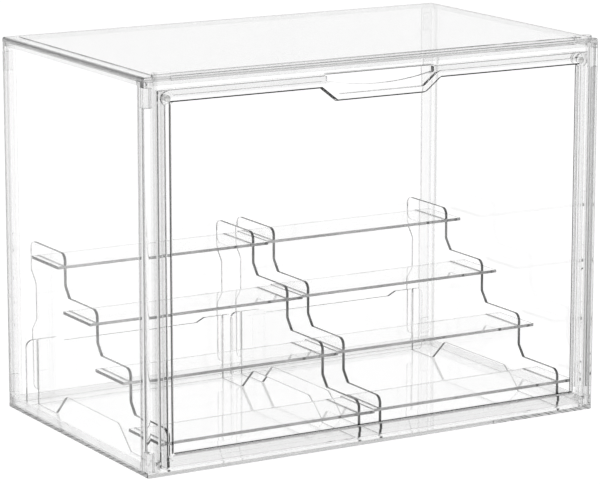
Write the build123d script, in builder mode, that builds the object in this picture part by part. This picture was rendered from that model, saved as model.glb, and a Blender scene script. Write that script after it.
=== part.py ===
from build123d import *
import os

# Clear display case with a drop-down magnetic door, holding two loose
# four-step stands for eyewear.  Millimetres, +Z up.  The origin is the middle
# of the case's footprint on the table; the door faces -Y.

# ------------------------------------------------------------ driving sizes
case_width = 340.0          # outside, X
case_depth = 206.0          # front of the front frame to the back, Y
case_height = 254.0         # table to the top face, Z
base_sheet = 2.5            # bottom panel
lid_sheet = 3.0             # top panel
wall_sheet = 2.2            # side and back panels
corner_radius = 1.8         # outer vertical corners
snap_gap = 0.2              # between panels that snap together
joint_gap = 0.05            # hairline between faces that rest on each other

rim_wall = 1.6              # locating rim inside the walls
bottom_rim_height = 4.9
top_rim_height = 3.0
lid_edge_round = 1.6        # the lid's outer edge, all round
lid_field_inset = 9.0       # the middle of the lid stands slightly proud
lid_field_rise = 0.5
rim_setback = 7.0           # the rims stop this far behind the front frame
overshoot = 1.0             # cutters run past the faces they cut

rear_rib_inset = 11.0       # stiffening rib of a side panel, from the back
rear_rib_wall = 1.4
rear_rib_depth = 2.4
back_band_width = 8.0       # thick vertical borders of the back panel
back_band_extra = 1.2

frame_depth = 6.0           # front frame, Y
post_width = 8.5            # frame post beside the door
header_height = 5.0
sill_height = 1.7
stop_lip_width = 4.5        # lip on each post that the shut door rests against
stop_lip_depth = 2.1
stop_lip_start = 8.0        # above the hinge axis, clear of the door's swinging heel
lug_width = 12.4            # two locking lugs on the frame's top edge
lug_depth = 3.2
lug_rise = 2.6              # above the top face
lug_inset = 6.2             # from the side face

tongue_height = 12.4        # snap tongues of the side panels
front_tongue_width = 4.8
front_border_width = 5.4    # thick upright border behind the front frame
front_border_extra = 1.6
rear_tongue_width = 6.0
front_tongue_low = 3.5      # bottom of the lower front tongue, from the table
front_tongue_top = 6.4      # top of the upper front tongue, from the top face
rear_tongue_inset = 10.0    # rear tongues, from the table and the top face

door_sheet = 2.2
door_side_gap = 1.0         # door to post
door_top_gap = 0.9
door_bottom_gap = 1.0
door_rest_gap = 0.3         # door to the stop lip
flange_width = 3.9          # low outer step of the door's border
flange_proud = 1.4
ridge_width = 4.2           # raised inner step of the border
ridge_proud = 3.2
ridge_corner = 2.0
ridge_edge = 0.5

handle_top_half = 44.5      # the border dips round the finger pull
handle_bottom_half = 33.0
handle_dip = 9.0
handle_corner = 6.0
border_top_trim = 1.0       # the border's top bar is this much narrower
scallop_half = 40.0         # finger notch in the door's top edge
scallop_end_depth = 3.2
scallop_depth = 7.8

hinge_height = 8.2          # hinge axis above the table
hinge_behind_front = 1.8    # axis behind the flange's front face
trunnion_radius = 1.2
trunnion_length = 2.2       # past the door's side gap
trunnion_clearance = 0.08   # radial

magnet_radius = 2.0
door_magnet_length = 4.0
frame_magnet_length = 2.0
magnet_chamfer = 0.15
magnet_recess = 0.3         # below the face that its pocket opens in
magnet_pocket_gap = 0.05
boss_radius = 4.4
boss_side_inset = 15.2      # boss centre from the side face
boss_top_inset = 13.5       # boss centre from the top face
boss_rear_proud = 1.0       # frame boss behind the stop lip

stand_sheet = 2.0           # cut sheet of the stands
tier_count = 4
tier_gap = 6.7              # back of one shelf to the front of the next
tier_rise = 29.0
first_shelf_top = 17.5      # above the case floor
top_shelf_inset = 10.9      # top shelf in front of the plates' back edge
left_overhang = 4.2         # shelf past the left side plate
right_overhang = 11.0       # shelf past the right side plate
tab_height = 8.0            # side plate above each shelf
tab_radius = 5.0
riser_drop = 7.6            # slanted step below each tier's front edge
riser_nose = 6.0
riser_radius = 3.0
nose_radius = 1.5
slot_gap = 0.15
brace_inset = 8.0           # brace in front of the plates' back edge
front_foot_end = 46.0
rear_foot_width = 27.0
arch_height = 15.0
arch_run_front = 17.0       # slanted ends of the arch, along the floor
arch_run_rear = 16.0
arch_radius = 6.0
foot_radius = 2.0
waist_cut = 7.0             # the plate's back edge is notched between two heights
waist_low = 59.5
waist_high = 84.0
waist_flare = 8.5
waist_radius = 4.0
heel_radius = 3.0
brace_height = 45.4
brace_ear = 8.0             # past each side plate
brace_ear_chamfer = 5.0
brace_seat = 10.5           # bottom of the brace's slots
brace_shoulder = 16.0       # raised ends of the top edge
brace_shoulder_ramp = 6.0
brace_dip = 3.0
brace_corner = 2.0

stand_front_gap = 1.2       # left stand behind the front frame
stand_stagger = 3.4         # the right stand sits this much further back
stand_rear_gap = 0.4        # right stand to the rear rim
stand_left_gap = 8.2        # rim to the left stand's shelves
stand_right_gap = 6.4       # rim to the right stand's shelves
stand_gap = 1.0             # between the two stands' shelves

# ------------------------------------------------------------ derived places
y_front = -case_depth / 2
y_back = case_depth / 2
y_frame_back = y_front + frame_depth
x_wall = case_width / 2
x_wall_in = x_wall - wall_sheet
x_post = x_wall - post_width
z_floor = base_sheet
z_ceiling = case_height - lid_sheet
z_wall_low = z_floor + joint_gap
z_wall_top = z_ceiling - joint_gap
z_header = z_ceiling - header_height
z_sill = z_floor + sill_height

x_door = x_post - door_side_gap
z_door_low = z_sill + door_bottom_gap
z_door_top = z_header - door_top_gap
y_lip_front = y_frame_back - stop_lip_depth
y_door_back = y_lip_front - door_rest_gap
y_sheet_front = y_door_back - door_sheet
y_flange_front = y_sheet_front - flange_proud
y_ridge_front = y_sheet_front - ridge_proud
x_border = x_door - flange_width - ridge_width
z_border_low = z_door_low + flange_width + ridge_width
z_border_top = z_door_top - flange_width - ridge_width + border_top_trim

y_wall_front = y_frame_back + joint_gap
y_hinge = y_flange_front + hinge_behind_front
z_hinge = hinge_height
z_lip_low = z_hinge + stop_lip_start

x_boss = x_wall - boss_side_inset
z_boss = case_height - boss_top_inset
y_lip_back = y_frame_back + boss_rear_proud

x_rim = x_wall_in - snap_gap
y_rim = y_back - wall_sheet - snap_gap
x_rim_in = x_rim - rim_wall
y_rim_in = y_rim - rim_wall
z_rim_low = z_floor + bottom_rim_height + snap_gap
z_rim_high = z_ceiling - top_rim_height - snap_gap

z_stand = z_floor + joint_gap
y_stand_front = y_frame_back + stand_front_gap
stand_depth = y_rim_in - stand_rear_gap - y_stand_front - stand_stagger
foot_depth = stand_depth - brace_inset
tier_pitch = (stand_depth - top_shelf_inset + tier_gap) / tier_count
shelf_depth = tier_pitch - tier_gap
shelf_length = (2 * x_rim_in - stand_left_gap - stand_right_gap - stand_gap) / 2
side_spacing = shelf_length - left_overhang - right_overhang - stand_sheet

tongue_spans = [
    (front_tongue_low, front_tongue_low + tongue_height),
    (case_height - front_tongue_top - tongue_height, case_height - front_tongue_top),
]
rear_tongue_spans = [
    (rear_tongue_inset, rear_tongue_inset + tongue_height),
    (case_height - rear_tongue_inset - tongue_height, case_height - rear_tongue_inset),
]


# ------------------------------------------------------------ small helpers
def block(x, y, z, mode=Mode.ADD):
    """A box between two x, two y and two z values, in any order."""
    with Locations(((x[0] + x[1]) / 2, (y[0] + y[1]) / 2, (z[0] + z[1]) / 2)):
        Box(abs(x[1] - x[0]), abs(y[1] - y[0]), abs(z[1] - z[0]), mode=mode)


def front_plane(y):
    """Sketch plane facing the front; local x, y are world X, Z."""
    return Plane.XZ.offset(-y)


def rectangle_between(x, y, mode=Mode.ADD):
    """A sketch rectangle between two x and two y values."""
    with Locations(((x[0] + x[1]) / 2, (y[0] + y[1]) / 2)):
        Rectangle(abs(x[1] - x[0]), abs(y[1] - y[0]), mode=mode)


def rounded_outline(corners):
    """Closed outline from (point, corner radius) pairs."""
    points = [point for point, radius in corners]
    radii = [radius for point, radius in corners]
    FilletPolyline(*points, radius=radii, close=True)


def save(piece, name):
    piece.part.label = name
    export_step(piece.part, f"parts/{name}.step")


os.makedirs("parts", exist_ok=True)


# ------------------------------------------------------------ top and bottom
# A flat sheet over the whole footprint, with a low locating rim that stands
# just inside the side and back panels.
def cover_panel(z_face, inward, sheet, rim_height):
    with BuildPart() as cover:
        with BuildSketch(Plane.XY.offset(z_face)):
            RectangleRounded(case_width, case_depth, corner_radius)
        extrude(amount=inward * sheet)
        with BuildSketch(Plane.XY.offset(z_face + inward * sheet)):
            rectangle_between((-x_rim, x_rim), (y_frame_back + rim_setback, y_rim))
            rectangle_between((-x_rim_in, x_rim_in), (y_front, y_rim_in), mode=Mode.SUBTRACT)
        extrude(amount=inward * rim_height)
    return cover


bottom_panel = cover_panel(0, 1, base_sheet, bottom_rim_height)
save(bottom_panel, "bottom_panel")

# The lid has a rounded outer edge, a middle field that stands slightly proud
# and a fourth length of rim behind the front frame's header.
with BuildPart() as top_panel:
    add(cover_panel(case_height, -1, lid_sheet, top_rim_height).part)
    fillet(top_panel.faces().sort_by(Axis.Z)[-1].edges(), lid_edge_round)
    with BuildSketch(Plane.XY.offset(case_height)):
        Rectangle(case_width - 2 * lid_field_inset, case_depth - 2 * lid_field_inset)
    extrude(amount=lid_field_rise)
    block((-x_rim_in + snap_gap, x_rim_in - snap_gap),
          (y_frame_back + snap_gap, y_frame_back + snap_gap + rim_wall),
          (z_ceiling, z_ceiling - top_rim_height))
    for side in (-1, 1):
        x_lug = side * (x_wall - lug_inset)
        block((x_lug + side * snap_gap, x_lug - side * (lug_width + snap_gap)),
              (y_front - overshoot, y_front + lug_depth + snap_gap),
              (z_ceiling - overshoot, case_height + overshoot), mode=Mode.SUBTRACT)
save(top_panel, "top_panel")


# ------------------------------------------------------------ side panels
# A flat sheet with a thick border along its front edge and a rib near the
# back.  Two tongues at the front edge key through the front frame, two at the
# back key into the back panel.
def side_panel(side):
    with BuildPart() as panel:
        block((side * x_wall_in, side * x_wall), (y_wall_front, y_back), (z_wall_low, z_wall_top))
        fillet(panel.edges().filter_by(Axis.Z).sort_by(Axis.Y)[-2:]
               .sort_by(Axis.X)[-1 if side > 0 else 0], corner_radius)
        rib_back = y_back - rear_rib_inset
        block((side * x_wall_in, side * (x_wall_in - rear_rib_depth)),
              (rib_back, rib_back + rear_rib_wall), (z_rim_low, z_rim_high))
        block((side * x_wall_in, side * (x_wall_in - front_border_extra)),
              (y_wall_front, y_wall_front + front_border_width), (z_wall_low, z_wall_top))
        for low, high in tongue_spans:
            block((side * (x_wall - front_tongue_width), side * x_wall),
                  (y_front, y_wall_front), (low, high))
        for low, high in rear_tongue_spans:
            block((side * x_wall_in, side * (x_wall_in - rear_tongue_width)),
                  (y_back - wall_sheet + joint_gap, y_back), (low, high))
        outer_front = (panel.edges().filter_by(Axis.Z)
                       .filter_by_position(Axis.Y, y_front - 0.01, y_front + 0.01)
                       .filter_by(lambda edge: abs(abs(edge.center().X) - x_wall) < 0.01))
        fillet(outer_front, corner_radius)
    return panel


for name, side in (("left_panel", -1), ("right_panel", 1)):
    save(side_panel(side), name)

# ------------------------------------------------------------ back panel
# A flat sheet between the side panels, thicker along both upright borders.
x_back_edge = x_wall_in - snap_gap
with BuildPart() as back_panel:
    block((-x_back_edge, x_back_edge), (y_back - wall_sheet, y_back), (z_wall_low, z_wall_top))
    for side in (-1, 1):
        block((side * x_back_edge, side * (x_back_edge - back_band_width)),
              (y_back - wall_sheet, y_back - wall_sheet - back_band_extra), (z_rim_low, z_rim_high))
        for low, high in rear_tongue_spans:
            block((side * (x_back_edge + overshoot),
                   side * (x_wall_in - rear_tongue_width - snap_gap)),
                  (y_back - wall_sheet, y_back + overshoot), (low - snap_gap, high + snap_gap),
                  mode=Mode.SUBTRACT)
save(back_panel, "back_panel")

# ------------------------------------------------------------ front frame
# A ring between the top and bottom sheets.  Its posts carry the door's
# trunnions, and a thin lip on each post is the stop that the door shuts against.
with BuildPart() as front_frame:
    with BuildSketch(front_plane(y_frame_back)):
        rectangle_between((-x_wall, x_wall), (z_wall_low, z_wall_top))
        rectangle_between((-x_post, x_post), (z_sill, z_header), mode=Mode.SUBTRACT)
    extrude(amount=frame_depth)
    outer_front = (front_frame.edges().filter_by(Axis.Z)
                   .filter_by_position(Axis.Y, y_front - 0.01, y_front + 0.01)
                   .filter_by(lambda edge: abs(abs(edge.center().X) - x_wall) < 0.01))
    fillet(outer_front, corner_radius)
    x_lip = x_post - stop_lip_width
    with BuildSketch(front_plane(y_frame_back)):
        rectangle_between((-x_post, x_post), (z_lip_low, z_header))
        rectangle_between((-x_lip, x_lip), (z_lip_low, z_header), mode=Mode.SUBTRACT)
    extrude(amount=stop_lip_depth)
    with BuildSketch(front_plane(y_lip_back)):
        with Locations((-x_boss, z_boss), (x_boss, z_boss)):
            Circle(boss_radius)
    extrude(amount=y_lip_back - y_lip_front)
    with BuildSketch(front_plane(y_lip_back)):
        with Locations((-x_boss, z_boss), (x_boss, z_boss)):
            Circle(magnet_radius + magnet_pocket_gap)
    extrude(amount=frame_magnet_length + magnet_recess + joint_gap, mode=Mode.SUBTRACT)
    for side in (-1, 1):
        for low, high in tongue_spans:
            block((side * (x_wall + overshoot), side * (x_wall - front_tongue_width - snap_gap)),
                  (y_front - overshoot, y_frame_back), (low - snap_gap, high + snap_gap),
                  mode=Mode.SUBTRACT)
        x_lug = side * (x_wall - lug_inset)
        block((x_lug, x_lug - side * lug_width), (y_front, y_front + lug_depth),
              (z_wall_top, case_height + lug_rise))
        hole_depth = door_side_gap + trunnion_length + 2 * snap_gap
        with Locations(Plane((side * x_door, y_hinge, z_hinge), z_dir=(side, 0, 0))):
            Cylinder(trunnion_radius + trunnion_clearance, hole_depth,
                     align=(Align.CENTER, Align.CENTER, Align.MIN), mode=Mode.SUBTRACT)
save(front_frame, "front_frame")


# ------------------------------------------------------------ door
# One moulding: a thin sheet with a stepped border whose inner ridge dips
# round the finger pull, and a trunnion at each lower corner.
def border_outline():
    """Inner edge of the border's ridge, dipping below the finger pull."""
    rounded_outline([
        ((-x_border, z_border_low), ridge_corner),
        ((x_border, z_border_low), ridge_corner),
        ((x_border, z_border_top), ridge_corner),
        ((handle_top_half, z_border_top), ridge_corner),
        ((handle_bottom_half, z_border_top - handle_dip), handle_corner),
        ((-handle_bottom_half, z_border_top - handle_dip), handle_corner),
        ((-handle_top_half, z_border_top), ridge_corner),
        ((-x_border, z_border_top), ridge_corner),
    ])


with BuildPart() as door:
    with BuildSketch(front_plane(y_door_back)):
        rectangle_between((-x_door, x_door), (z_door_low, z_door_top))
    extrude(amount=door_sheet)
    with BuildSketch(front_plane(y_door_back)) as flange:
        rectangle_between((-x_door, x_door), (z_door_low, z_door_top))
        rectangle_between((-x_door + flange_width, x_door - flange_width),
                          (z_door_low + flange_width, z_door_top - flange_width),
                          mode=Mode.SUBTRACT)
    extrude(amount=door_sheet + flange_proud)
    with BuildSketch(front_plane(y_door_back)) as ridge:
        with BuildLine():
            border_outline()
        make_face()
        offset(amount=ridge_width, kind=Kind.ARC)
        with BuildLine():
            border_outline()
        make_face(mode=Mode.SUBTRACT)
    extrude(amount=door_sheet + ridge_proud)
    fillet(door.edges().group_by(Axis.Y)[0], ridge_edge)
    with BuildSketch(front_plane(y_door_back)):
        with Locations((-x_boss, z_boss), (x_boss, z_boss)):
            Circle(boss_radius)
    extrude(amount=door_sheet + ridge_proud)
    with BuildSketch(front_plane(y_door_back)) as scallop:
        z_scallop = z_door_top - scallop_end_depth
        with BuildLine():
            Polyline((-scallop_half, z_scallop), (-scallop_half, z_door_top + overshoot),
                     (scallop_half, z_door_top + overshoot), (scallop_half, z_scallop))
            ThreePointArc((scallop_half, z_scallop), (0, z_door_top - scallop_depth),
                          (-scallop_half, z_scallop))
        make_face()
    extrude(amount=door_sheet + ridge_proud, mode=Mode.SUBTRACT)
    with BuildSketch(front_plane(y_door_back)):
        with Locations((-x_boss, z_boss), (x_boss, z_boss)):
            Circle(magnet_radius + magnet_pocket_gap)
    extrude(amount=door_magnet_length + magnet_recess + joint_gap, mode=Mode.SUBTRACT)
    for side in (-1, 1):
        with Locations(Plane((side * x_door, y_hinge, z_hinge), z_dir=(side, 0, 0))):
            Cylinder(trunnion_radius, door_side_gap + trunnion_length,
                     align=(Align.CENTER, Align.CENTER, Align.MIN))
save(door, "door")


# ------------------------------------------------------------ magnets
# Four plated magnets, pushed from behind to the bottom of blind pockets: a
# long pair in the door's top corners and a short pair in the frame's.
def magnet(side, y_pocket_mouth, length):
    with BuildPart() as rod:
        with BuildSketch(front_plane(y_pocket_mouth - magnet_recess)):
            with Locations((side * x_boss, z_boss)):
                Circle(magnet_radius)
        extrude(amount=length)
        chamfer(rod.edges(), magnet_chamfer)
    return rod


for name, side in (("left", -1), ("right", 1)):
    save(magnet(side, y_door_back, door_magnet_length), f"door_magnet_{name}")
    save(magnet(side, y_lip_back, frame_magnet_length), f"frame_magnet_{name}")


# ------------------------------------------------------------ stands
# Two loose stands of cut sheet: stair-shaped side plates, four shelves pushed
# into them from the front, and a brace that crosses both plates at the back.
def tier_front(tier):
    """Front edge of a tier, from the stand's front; tier 0 is the lowest."""
    return tier * tier_pitch


def tier_top(tier):
    """Top of a tier's shelf above the case floor."""
    return first_shelf_top + tier * tier_rise


def side_plate_outline():
    """Closed outline of a side plate; local x runs back, local y up."""
    corners = [((0, 0), foot_radius)]
    for tier in range(tier_count - 1):
        z_tab = tier_top(tier) + tab_height
        corners.append(((tier_front(tier), z_tab), tab_radius))
        corners.append(((tier_front(tier + 1) - riser_nose, z_tab), nose_radius))
        corners.append(((tier_front(tier + 1), z_tab + riser_drop), riser_radius))
    z_tab = tier_top(tier_count - 1) + tab_height
    rear_foot_start = foot_depth - rear_foot_width
    corners += [
        ((tier_front(tier_count - 1), z_tab), tab_radius),
        ((stand_depth, z_tab), tab_radius),
        ((stand_depth, waist_high + waist_flare), waist_radius),
        ((stand_depth - waist_cut, waist_high), waist_radius),
        ((stand_depth - waist_cut, waist_low), waist_radius),
        ((stand_depth, waist_low - waist_flare), waist_radius),
        ((stand_depth, brace_seat), heel_radius),
        ((foot_depth, brace_seat), 0),
        ((foot_depth, 0), 0),
        ((rear_foot_start, 0), foot_radius),
        ((rear_foot_start - arch_run_rear, arch_height), arch_radius),
        ((front_foot_end + arch_run_front, arch_height), arch_radius),
        ((front_foot_end, 0), foot_radius),
    ]
    rounded_outline(corners)


def side_plate(x_face, y_stand):
    plate_plane = Plane((x_face, y_stand, z_stand), x_dir=(0, 1, 0), z_dir=(1, 0, 0))
    with BuildPart() as plate:
        with BuildSketch(plate_plane):
            with BuildLine():
                side_plate_outline()
            make_face()
            for tier in range(tier_count):
                rectangle_between((tier_front(tier) - overshoot,
                                   tier_front(tier) + shelf_depth + slot_gap),
                                  (tier_top(tier) - stand_sheet - joint_gap,
                                   tier_top(tier) + slot_gap),
                                  mode=Mode.SUBTRACT)
        extrude(amount=stand_sheet)
    return plate


def shelf(tier, x_face, y_stand):
    with BuildPart() as board:
        x_start = x_face - left_overhang
        z_top = z_stand + tier_top(tier)
        y_start = y_stand + tier_front(tier)
        block((x_start, x_start + shelf_length), (y_start, y_start + shelf_depth),
              (z_top - stand_sheet, z_top))
    return board


def brace(x_face, y_stand):
    x_low = x_face - brace_ear
    x_high = x_face + side_spacing + stand_sheet + brace_ear
    z_low = z_stand
    z_top = z_stand + brace_height
    dip_low = x_face + brace_shoulder
    dip_high = x_face + side_spacing + stand_sheet - brace_shoulder
    with BuildPart() as board:
        with BuildSketch(front_plane(y_stand + foot_depth + stand_sheet)):
            with BuildLine():
                rounded_outline([
                    ((x_low, z_low), brace_corner),
                    ((x_high, z_low), brace_corner),
                    ((x_high, z_top), brace_ear_chamfer),
                    ((dip_high, z_top), brace_corner),
                    ((dip_high - brace_shoulder_ramp, z_top - brace_dip), brace_corner),
                    ((dip_low + brace_shoulder_ramp, z_top - brace_dip), brace_corner),
                    ((dip_low, z_top), brace_corner),
                    ((x_low, z_top), brace_ear_chamfer),
                ])
            make_face()
            for x_slot in (x_face, x_face + side_spacing):
                rectangle_between((x_slot - slot_gap, x_slot + stand_sheet + slot_gap),
                                  (z_stand + brace_seat - joint_gap, z_top + overshoot),
                                  mode=Mode.SUBTRACT)
        extrude(amount=stand_sheet)
    return board


stand_left_x = -x_rim_in + stand_left_gap + left_overhang
stand_right_x = stand_left_x + shelf_length + stand_gap
stands = (
    ("left", stand_left_x, y_stand_front),
    ("right", stand_right_x, y_stand_front + stand_stagger),
)
for name, x_face, y_stand in stands:
    save(side_plate(x_face, y_stand), f"stand_{name}_side_l")
    save(side_plate(x_face + side_spacing, y_stand), f"stand_{name}_side_r")
    save(brace(x_face, y_stand), f"stand_{name}_brace")
    for tier in range(tier_count):
        save(shelf(tier, x_face, y_stand), f"stand_{name}_shelf_{tier + 1}")
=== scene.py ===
import bmesh
import bpy
import math
from mathutils import Matrix, Vector

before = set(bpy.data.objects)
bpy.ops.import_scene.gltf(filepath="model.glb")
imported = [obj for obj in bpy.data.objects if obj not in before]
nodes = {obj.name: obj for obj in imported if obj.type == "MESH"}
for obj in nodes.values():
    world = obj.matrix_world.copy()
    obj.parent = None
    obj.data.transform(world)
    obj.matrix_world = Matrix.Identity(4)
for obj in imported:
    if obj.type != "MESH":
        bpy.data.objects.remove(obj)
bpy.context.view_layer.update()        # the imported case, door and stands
scene = bpy.context.scene
scene.view_settings.view_transform = "Standard"
MM = 0.001


# ---------------------------------------------------------------- camera
# A long lens stands to the left of the case and a little above its lid, so that
# the case fills the picture and its uprights stay almost parallel.
camera_place = Vector((-1.0452, -1.7940, 0.5555))
camera_look = Vector((0.4925, 0.8452, -0.2076))
camera_up = Vector((0.1045, 0.1794, 0.9782))

camera_data = bpy.data.cameras.new("camera")
camera_data.lens = 189.0
camera_data.sensor_width = 36.0
camera_data.clip_start = 0.05
camera_data.clip_end = 60.0
camera_back = -camera_look.normalized()
camera_right = camera_look.cross(camera_up).normalized()
camera_true_up = camera_back.cross(camera_right)
camera = bpy.data.objects.new("camera", camera_data)
camera.matrix_world = Matrix((
    (camera_right.x, camera_true_up.x, camera_back.x, camera_place.x),
    (camera_right.y, camera_true_up.y, camera_back.y, camera_place.y),
    (camera_right.z, camera_true_up.z, camera_back.z, camera_place.z),
    (0.0, 0.0, 0.0, 1.0),
))
scene.collection.objects.link(camera)
scene.camera = camera


# ---------------------------------------------------------------- studio tent
# A white tent stands round the table. Its walls are white level with the case and
# greyer overhead, so clear plastic has something to show at its edges.
tent_light = 0.496
tent_overhead = 0.60
wall_white_to = 0.30         # sine of the height angle where the wall starts to grey
wall_grey_from = 0.75
bounces_in_plastic = 160
clear_faces_in_a_row = 64


def grey(value):
    return (value, value, value, 1.0)


def step(tree, operation, *values):
    """Add one maths node to tree. Each value is a number or another node's output."""
    node = tree.nodes.new("ShaderNodeMath")
    node.operation = operation
    for socket, value in zip(node.inputs, values):
        if isinstance(value, float):
            socket.default_value = value
        else:
            tree.links.new(value, socket)
    return node.outputs[0]


def background(tree, strength):
    node = tree.nodes.new("ShaderNodeBackground")
    node.inputs["Color"].default_value = grey(1.0)
    node.inputs["Strength"].default_value = strength
    return node


tent = bpy.data.worlds.new("tent")
scene.world = tent
tent.use_nodes = True
tree = tent.node_tree
tree.nodes.clear()
ray = tree.nodes.new("ShaderNodeLightPath").outputs
direction = tree.nodes.new("ShaderNodeTexCoord")
split = tree.nodes.new("ShaderNodeSeparateXYZ")
tree.links.new(direction.outputs["Generated"], split.inputs[0])
steepness = step(tree, "ABSOLUTE", split.outputs["Z"])
wall_colour = tree.nodes.new("ShaderNodeValToRGB")
for stop, position, value in zip(wall_colour.color_ramp.elements,
                                 (wall_white_to, wall_grey_from), (1.0, tent_overhead)):
    stop.position = position
    stop.color = grey(value)
backdrop = background(tree, 1.0)
tent_walls = background(tree, 1.0)
tent_glow = background(tree, tent_light)
in_plastic = step(tree, "MAXIMUM", ray["Is Glossy Ray"], ray["Is Transmission Ray"])
not_lighting = step(tree, "SUBTRACT", in_plastic, ray["Diffuse Depth"])
not_lighting.node.use_clamp = True
glow_or_walls = tree.nodes.new("ShaderNodeMixShader")
backdrop_or_rest = tree.nodes.new("ShaderNodeMixShader")
tent_out = tree.nodes.new("ShaderNodeOutputWorld")
tree.links.new(steepness, wall_colour.inputs["Fac"])
tree.links.new(wall_colour.outputs["Color"], tent_walls.inputs["Color"])
tree.links.new(not_lighting, glow_or_walls.inputs["Fac"])
tree.links.new(tent_glow.outputs[0], glow_or_walls.inputs[1])
tree.links.new(tent_walls.outputs[0], glow_or_walls.inputs[2])
tree.links.new(ray["Is Camera Ray"], backdrop_or_rest.inputs["Fac"])
tree.links.new(glow_or_walls.outputs[0], backdrop_or_rest.inputs[1])
tree.links.new(backdrop.outputs[0], backdrop_or_rest.inputs[2])
tree.links.new(backdrop_or_rest.outputs[0], tent_out.inputs["Surface"])

# One wide lamp over the left front corner gives the soft shadow under the case.
lamp_data = bpy.data.lights.new("soft lamp", "SUN")
lamp_data.energy = 0.8
lamp_data.angle = math.radians(70.0)
lamp = bpy.data.objects.new("soft lamp", lamp_data)
lamp.rotation_euler = (math.radians(28.0), math.radians(-18.0), 0.0)
scene.collection.objects.link(lamp)

# Light goes to and fro many times inside a clear sheet before it leaves by an edge.
scene.cycles.max_bounces = bounces_in_plastic
scene.cycles.transmission_bounces = bounces_in_plastic
scene.cycles.glossy_bounces = bounces_in_plastic
scene.cycles.transparent_max_bounces = clear_faces_in_a_row


# ---------------------------------------------------------------- table top
# White paper runs under the case and far behind it. It glows a little to the eye and
# in the plastic, which makes it as white as the backdrop and keeps its shadow.
paper_reach = 14.0
paper_gap = 0.3 * MM         # air between the paper and the case's flat underside
paper_colour = 0.80
paper_glow = 0.50

paper = bpy.data.materials.new("white paper")
paper.use_nodes = True
tree = paper.node_tree
paper_skin = tree.nodes["Principled BSDF"]
paper_skin.inputs["Base Color"].default_value = grey(paper_colour)
paper_skin.inputs["Roughness"].default_value = 0.9
paper_skin.inputs["Specular IOR Level"].default_value = 0.0
paper_skin.inputs["Emission Color"].default_value = grey(1.0)
ray = tree.nodes.new("ShaderNodeLightPath").outputs
seen_or_mirrored = step(tree, "MAXIMUM", ray["Is Camera Ray"], ray["Is Glossy Ray"])
seen_any_way = step(tree, "MAXIMUM", seen_or_mirrored, ray["Is Transmission Ray"])
glow = step(tree, "MULTIPLY", seen_any_way, paper_glow)
tree.links.new(glow, paper_skin.inputs["Emission Strength"])

paper_shape = bmesh.new()
bmesh.ops.create_grid(paper_shape, x_segments=1, y_segments=1, size=paper_reach,
                      matrix=Matrix.Translation((0.0, 0.0, -paper_gap)))
paper_mesh = bpy.data.meshes.new("table")
paper_shape.to_mesh(paper_mesh)
paper_shape.free()
paper_mesh.materials.append(paper)
table = bpy.data.objects.new("table", paper_mesh)
scene.collection.objects.link(table)


# ---------------------------------------------------------------- base
# A flat moulded sheet of clear polystyrene with a low rim round its top. Its narrow
# faces and sharp edges carry a little painted shade: grey in the colour and a dark coat.
broad_from = 0.95            # cosine between a face and the sheet's own direction
narrow_from = 0.35
# A mottle makes the painted edge shade uneven, standing in for reflections seen in the edges, and
# gives the sheets a faint random haze.
mottle_scale = 45.0
mottle_detail = 3.0
mottle_range = (0.3, 0.7)    # the part of the mottle that is used
mottle_share = (0.65, 1.35)  # and the shares of the grey that it gives
# Painted shade on sharp edges, and the colour and dark coat tint of all the painted shade:
arris_turn = 0.71            # cosine where an edge is at its greyest
arris_samples = 4
painted_shade_tint = 0.02             # what is left of light that meets the deepest grey
painted_shade_colour = 0.3
lamp_share = 0.992           # of a lamp's light that gets through one face
plastic_ior = 1.49
moulded_arris = 0.4 * MM
moulded_murk = 1.5


def dot(tree, first, second):
    node = tree.nodes.new("ShaderNodeVectorMath")
    node.operation = "DOT_PRODUCT"
    tree.links.new(first, node.inputs[0])
    tree.links.new(second, node.inputs[1])
    return node.outputs["Value"]


def spread(tree, value, given, wanted=(0.0, 1.0)):
    """Stretch value from one range to another."""
    node = tree.nodes.new("ShaderNodeMapRange")
    tree.links.new(value, node.inputs["Value"])
    node.inputs["From Min"].default_value, node.inputs["From Max"].default_value = given
    node.inputs["To Min"].default_value, node.inputs["To Max"].default_value = wanted
    return node.outputs["Result"]


def within(tree, value, low, high):
    return step(tree, "MULTIPLY", step(tree, "GREATER_THAN", value, low),
                step(tree, "LESS_THAN", value, high))


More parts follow.
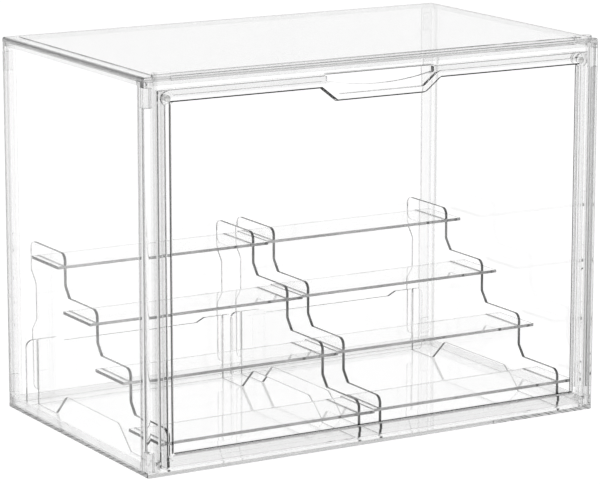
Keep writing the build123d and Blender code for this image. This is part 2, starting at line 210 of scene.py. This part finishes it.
def painted_edge_shade():
    """How deep the painted shade lies: on narrow faces, on sharp edges and along one strip."""
    made = bpy.data.node_groups.new("painted edge shade", "ShaderNodeTree")
    for name, kind in (("Across Sheet", "Vector"), ("Narrow Depth", "Float"),
                       ("Arris Depth", "Float"), ("Arris Radius", "Float"),
                       ("Strip Axis", "Vector"), ("Strip From", "Float"),
                       ("Strip To", "Float"), ("Strip Depth", "Float")):
        made.interface.new_socket(name, in_out="INPUT", socket_type="NodeSocket" + kind)
    for name in ("Depth", "Haze"):
        made.interface.new_socket(name, in_out="OUTPUT", socket_type="NodeSocketFloat")
    given = made.nodes.new("NodeGroupInput").outputs
    place = made.nodes.new("ShaderNodeTexCoord").outputs
    out = made.nodes.new("NodeGroupOutput")

    # Narrow faces get painted shade, standing in for the dark refraction at a clear sheet's edge.
    across = step(made, "ABSOLUTE", dot(made, place["Normal"], given["Across Sheet"]))
    narrow = spread(made, across, (broad_from, narrow_from))
    # The mottle makes the painted shade uneven, as painted reflections, and also gives the faint
    # haze.
    mottle = made.nodes.new("ShaderNodeTexNoise")
    mottle.inputs["Scale"].default_value = mottle_scale
    mottle.inputs["Detail"].default_value = mottle_detail
    made.links.new(place["Object"], mottle.inputs["Vector"])
    uneven = spread(made, mottle.outputs["Fac"], mottle_range, mottle_share)
    narrow_depth = step(made, "MULTIPLY", step(made, "MULTIPLY", narrow, given["Narrow Depth"]),
                        uneven)

    # Sharp edges get painted shade where the rounded normal bends away from the face.
    softened = made.nodes.new("ShaderNodeBevel")
    softened.samples = arris_samples
    made.links.new(given["Arris Radius"], softened.inputs["Radius"])
    true_face = made.nodes.new("ShaderNodeNewGeometry")
    bent = dot(made, softened.outputs["Normal"], true_face.outputs["Normal"])
    arris_depth = step(made, "MULTIPLY", spread(made, bent, (1.0, arris_turn)),
                       given["Arris Depth"])

    # A strip of painted shade lies between two distances along Strip Axis.
    along = step(made, "ABSOLUTE", dot(made, place["Object"], given["Strip Axis"]))
    in_strip = within(made, along, given["Strip From"], given["Strip To"])
    strip_depth = step(made, "MULTIPLY", in_strip, given["Strip Depth"])

    deepest = step(made, "MAXIMUM", step(made, "MAXIMUM", narrow_depth, arris_depth), strip_depth)
    made.links.new(deepest, out.inputs["Depth"])
    made.links.new(mottle.outputs["Fac"], out.inputs["Haze"])
    return made


painted_shade_group = painted_edge_shade()


def clear_plastic(name, across_sheet, narrow, arris, arris_radius, murk,
                  strip=((1, 0, 0), 0.0, 0.0, 0.0), haze_and_shade_clearest=1.0, haze_and_shade_haziest=0.995):
    """Clear plastic for sheets whose broad faces look along across_sheet."""
    made = bpy.data.materials.new(name)
    made.use_nodes = True
    tree = made.node_tree
    skin = tree.nodes["Principled BSDF"]
    for socket, value in (("Roughness", 0.0), ("IOR", plastic_ior), ("Coat IOR", 1.0),
                          ("Transmission Weight", 1.0), ("Coat Tint", grey(painted_shade_tint))):
        skin.inputs[socket].default_value = value
    depth = tree.nodes.new("ShaderNodeGroup")
    depth.name = "painted shade depth"
    depth.node_tree = painted_shade_group
    for socket, value in (("Across Sheet", across_sheet), ("Narrow Depth", narrow),
                          ("Arris Depth", arris), ("Arris Radius", arris_radius),
                          ("Strip Axis", strip[0]), ("Strip From", strip[1]),
                          ("Strip To", strip[2]), ("Strip Depth", strip[3])):
        depth.inputs[socket].default_value = value
    # The clear tint follows the mottle between two greys; the lid's darker pair is painted shade.
    haze = tree.nodes.new("ShaderNodeMix")
    haze.data_type = "RGBA"
    haze.inputs[6].default_value = grey(haze_and_shade_clearest)
    haze.inputs[7].default_value = grey(haze_and_shade_haziest)
    colour = tree.nodes.new("ShaderNodeMix")
    colour.name = "sheet colour with painted shade"
    colour.data_type = "RGBA"
    colour.inputs[7].default_value = grey(painted_shade_colour)
    inside = tree.nodes.new("ShaderNodeVolumeAbsorption")
    inside.inputs["Color"].default_value = grey(0.0)
    inside.inputs["Density"].default_value = murk
    ray = tree.nodes.new("ShaderNodeLightPath").outputs
    lamp_or_bounce = step(tree, "MAXIMUM", ray["Is Shadow Ray"], ray["Is Diffuse Ray"])
    let_through = tree.nodes.new("ShaderNodeBsdfTransparent")
    let_through.inputs["Color"].default_value = grey(lamp_share)
    seen_or_lit = tree.nodes.new("ShaderNodeMixShader")
    out = tree.nodes["Material Output"]
    # The haze tints the clear plastic; the painted shade greys its colour and lays a dark coat
    # over it.
    tree.links.new(depth.outputs["Haze"], haze.inputs[0])
    tree.links.new(haze.outputs[2], colour.inputs[6])
    tree.links.new(depth.outputs["Depth"], colour.inputs[0])
    tree.links.new(colour.outputs[2], skin.inputs["Base Color"])
    tree.links.new(depth.outputs["Depth"], skin.inputs["Coat Weight"])
    tree.links.new(lamp_or_bounce, seen_or_lit.inputs["Fac"])
    tree.links.new(skin.outputs["BSDF"], seen_or_lit.inputs[1])
    tree.links.new(let_through.outputs["BSDF"], seen_or_lit.inputs[2])
    tree.links.new(seen_or_lit.outputs["Shader"], out.inputs["Surface"])
    tree.links.new(inside.outputs["Volume"], out.inputs["Volume"])
    return made


def dress(names, material):
    for name in names:
        for holder in nodes[name].material_slots:
            holder.material = material


base_plastic = clear_plastic("base plastic", (0, 0, 1), 0.07, 0.25, moulded_arris, moulded_murk)
dress(["bottom_panel"], base_plastic)


# ---------------------------------------------------------------- side walls
# Moulded sheets that snap to the front frame and the back by flat tongues. A thick
# border runs up behind the frame and a thin rib near the back.
# A strip of painted shade lies along the rib, and a thin line of painted shade runs up each wall
# near its front.
rib_painted_shade_strip = ((0, 1, 0), 93.4 * MM, 97.0 * MM, 0.12)
front_painted_shade_line = (-95.6 * MM, -94.6 * MM)
front_painted_shade_depth = 0.50


def place_in(tree):
    """X, Y and Z of the spot being looked at."""
    place = tree.nodes.new("ShaderNodeTexCoord")
    spot = tree.nodes.new("ShaderNodeSeparateXYZ")
    tree.links.new(place.outputs["Object"], spot.inputs[0])
    return spot.outputs


def lay_shade_over(tree, line_depth):
    """Put a line of painted shade over the sheet's painted edge shade, whichever is deeper."""
    whole_depth = step(tree, "MAXIMUM", line_depth, tree.nodes["painted shade depth"].outputs["Depth"])
    tree.links.new(whole_depth, tree.nodes["sheet colour with painted shade"].inputs[0])
    tree.links.new(whole_depth, tree.nodes["Principled BSDF"].inputs["Coat Weight"])


side_plastic = clear_plastic("side wall plastic", (1, 0, 0), 0.018, 0.09, moulded_arris,
                             moulded_murk, strip=rib_painted_shade_strip)
tree = side_plastic.node_tree
# Painted shade in a thin line near the wall's front.
on_line = within(tree, place_in(tree)["Y"], *front_painted_shade_line)
lay_shade_over(tree, step(tree, "MULTIPLY", on_line, front_painted_shade_depth))
dress(["left_panel", "right_panel"], side_plastic)


# ---------------------------------------------------------------- back wall
# One moulded sheet that stands between the side walls, behind the low rims of base and
# lid. A thicker border runs up each side of it.
# A strip of painted shade lies along each side's thicker border.
border_painted_shade_strip = ((1, 0, 0), 159.6 * MM, 168.0 * MM, 0.03)
back_plastic = clear_plastic("back wall plastic", (0, 1, 0), 0.12, 0.30, moulded_arris,
                             moulded_murk, strip=border_painted_shade_strip)
dress(["back_panel"], back_plastic)


# ---------------------------------------------------------------- front frame
# A moulded ring with a stop lip on each post, magnet bosses behind the header and the
# sockets that the door's trunnions turn in.
# A strip of painted shade runs along each post, and a line of painted shade along the header's
# lower edge across its middle.
post_painted_shade_strip = ((1, 0, 0), 161.0 * MM, 164.6 * MM, 0.10)
header_low = 246.0 * MM
header_shade_line_width = 0.6 * MM
header_shade_line_half = 40.0 * MM
header_shade_line_depth = 0.30

frame_plastic = clear_plastic("front frame plastic", (0, 1, 0), 0.012, 0.08, moulded_arris,
                              moulded_murk, strip=post_painted_shade_strip)
tree = frame_plastic.node_tree
spot = place_in(tree)
# Painted shade in a thin line along the header's lower edge, across its middle.
at_notch = step(tree, "LESS_THAN", step(tree, "ABSOLUTE", spot["X"]), header_shade_line_half)
at_edge = step(tree, "COMPARE", spot["Z"], header_low, header_shade_line_width)
on_line = step(tree, "MULTIPLY", at_notch, at_edge)
lay_shade_over(tree, step(tree, "MULTIPLY", on_line, header_shade_line_depth))
dress(["front_frame"], frame_plastic)


# ---------------------------------------------------------------- lid
# A moulded sheet with a rounded edge and a slightly raised field. Its plastic is
# tinted greyer than the walls', painted shade for the lid's greyer look from above.
lid_plastic = clear_plastic("lid plastic", (0, 0, 1), 0.018, 0.10, moulded_arris, moulded_murk,
                            haze_and_shade_clearest=0.90, haze_and_shade_haziest=0.85)
dress(["top_panel"], lid_plastic)


# ---------------------------------------------------------------- door
# One moulding: a thin window with a stepped border round it. The dark line that the
# border's inner wall shows round the window is painted shade, laid on by its place.
# A strip of painted shade runs up the border on each side.
door_painted_shade_strip = ((1, 0, 0), 156.2 * MM, 159.2 * MM, 0.13)
hair = 0.05 * MM
window_half_width = 152.4 * MM
window_top = 238.0 * MM
window_foot = 13.3 * MM
dip_bottom = 229.0 * MM
dip_half_low = 33.0 * MM
dip_half_high = 44.5 * MM
border_front = -104.8 * MM
border_round = 0.5 * MM
sheet_front = -101.6 * MM
sheet_back = -99.4 * MM
# A line of painted shade round the window, on the border's front, its inner wall and the corner
# by the window.
painted_shade_line_width = 0.8 * MM
painted_shade_line_depth = 0.95
top_front = 1.0              # shares of that depth: the border's front above the window,
foot_front = 0.30            # its front below the window,
inner_wall = 0.72            # its inner wall seen from inside the plastic,
foot_wall = 0.30             # the same wall below the window from outside,
corner = 0.90                # and the corner where the wall meets the window
corner_width = 0.6 * MM
corner_reach = 0.15 * MM     # how far to either side of the sheet's front
left_painted_shade_line = (-152.4 * MM, -151.6 * MM)   # the left side also has a line on its back
# Painted shade on the border's broad faces above and below the window.
grey_above = 240.4 * MM      # the border's broad faces are a little grey from here up
grey_below = 12.9 * MM       # and from here down
border_painted_shade_depth = 0.06

door_plastic = clear_plastic("door plastic", (0, 1, 0), 0.018, 0.10, moulded_arris,
                             moulded_murk, strip=door_painted_shade_strip)
tree = door_plastic.node_tree
spot = place_in(tree)
from_middle = step(tree, "ABSOLUTE", spot["X"])
top_here = spread(tree, from_middle, (dip_half_low, dip_half_high), (dip_bottom, window_top))
past_side = step(tree, "SUBTRACT", from_middle, window_half_width)
past_top = step(tree, "SUBTRACT", spot["Z"], top_here)
past_foot = step(tree, "SUBTRACT", window_foot, spot["Z"])
past_window = step(tree, "MAXIMUM", step(tree, "MAXIMUM", past_side, past_top), past_foot)
on_line = within(tree, past_window, -hair, painted_shade_line_width)

near_front = step(tree, "LESS_THAN", spot["Y"], border_front + border_round + hair)
at_top = step(tree, "MULTIPLY", step(tree, "GREATER_THAN", past_top, -hair), top_front)
at_foot = step(tree, "MULTIPLY", step(tree, "GREATER_THAN", past_foot, -hair), foot_front)
on_front = step(tree, "MULTIPLY", near_front, step(tree, "MAXIMUM", at_top, at_foot))

before_sheet = step(tree, "LESS_THAN", spot["Y"], sheet_front + hair)
seen_side = tree.nodes.new("ShaderNodeNewGeometry")
from_inside = step(tree, "MULTIPLY", seen_side.outputs["Backfacing"], inner_wall)
at_foot_wall = step(tree, "MULTIPLY", step(tree, "GREATER_THAN", past_foot, -2.0 * hair),
                    foot_wall)
on_wall = step(tree, "MULTIPLY", before_sheet,
               step(tree, "MAXIMUM", from_inside, at_foot_wall))
on_border = step(tree, "MULTIPLY", on_line, step(tree, "MAXIMUM", on_front, on_wall))

on_sheet = step(tree, "COMPARE", spot["Y"], sheet_front, corner_reach)
by_wall = within(tree, past_window, -corner_width, 0.0)
in_corner = step(tree, "MULTIPLY", step(tree, "MULTIPLY", on_sheet, by_wall), corner)

in_window = step(tree, "LESS_THAN", past_window, 0.0)
on_left = within(tree, spot["X"], *left_painted_shade_line)
on_left_back = step(tree, "MULTIPLY", step(tree, "MULTIPLY", on_left, in_window),
                    step(tree, "GREATER_THAN", spot["Y"], sheet_back - hair))

# All the painted shade on the door, laid over its painted edge shade.
dark_share = step(tree, "MAXIMUM", on_border, step(tree, "MAXIMUM", in_corner, on_left_back))
line_depth = step(tree, "MULTIPLY", dark_share, painted_shade_line_depth)
on_broad = step(tree, "MAXIMUM", step(tree, "GREATER_THAN", spot["Z"], grey_above),
                step(tree, "LESS_THAN", spot["Z"], grey_below))
lay_shade_over(tree, step(tree, "MAXIMUM", line_depth,
                    step(tree, "MULTIPLY", on_broad, border_painted_shade_depth)))
dress(["door"], door_plastic)


# ---------------------------------------------------------------- magnets
# Four nickel-plated magnets in blind pockets, a long pair in the door and a short pair
# in the frame.
plating_dull = (0.60, 0.60, 0.59, 1.0)
plating_bright = (0.74, 0.74, 0.73, 1.0)
plating_roughness = (0.16, 0.30)
plating_mottle_scale = 900.0

plating = bpy.data.materials.new("nickel plating")
plating.use_nodes = True
tree = plating.node_tree
metal = tree.nodes["Principled BSDF"]
metal.inputs["Metallic"].default_value = 1.0
mottle = tree.nodes.new("ShaderNodeTexNoise")
mottle.inputs["Scale"].default_value = plating_mottle_scale
place = tree.nodes.new("ShaderNodeTexCoord")
metal_colour = tree.nodes.new("ShaderNodeMix")
metal_colour.data_type = "RGBA"
metal_colour.inputs[6].default_value = plating_dull
metal_colour.inputs[7].default_value = plating_bright
tree.links.new(place.outputs["Object"], mottle.inputs["Vector"])
metal_polish = spread(tree, mottle.outputs["Fac"], (0.0, 1.0), plating_roughness)
tree.links.new(mottle.outputs["Fac"], metal_colour.inputs[0])
tree.links.new(metal_colour.outputs[2], metal.inputs["Base Color"])
tree.links.new(metal_polish, metal.inputs["Roughness"])
dress([name for name in nodes if "magnet" in name], plating)


# ---------------------------------------------------------------- stands
# Cut acrylic sheet, 2 mm thick, slotted together. The cut edges are clear but darker
# than the faces, like the rim of a drinking glass: partly from the murkier plastic
# inside and partly from painted shade on the narrow faces and sharp edges.
cut_arris = 0.3 * MM
cut_murk = 6.0
for name, part, across_sheet, narrow, arris in (
        ("side plate sheet", "_side_", (1, 0, 0), 0.50, 0.45),
        ("shelf sheet", "_shelf_", (0, 0, 1), 0.28, 0.40),
        ("brace sheet", "_brace", (0, 1, 0), 0.18, 0.25)):
    sheet = clear_plastic(name, across_sheet, narrow, arris, cut_arris, cut_murk)
    dress([node for node in nodes if part in node], sheet)
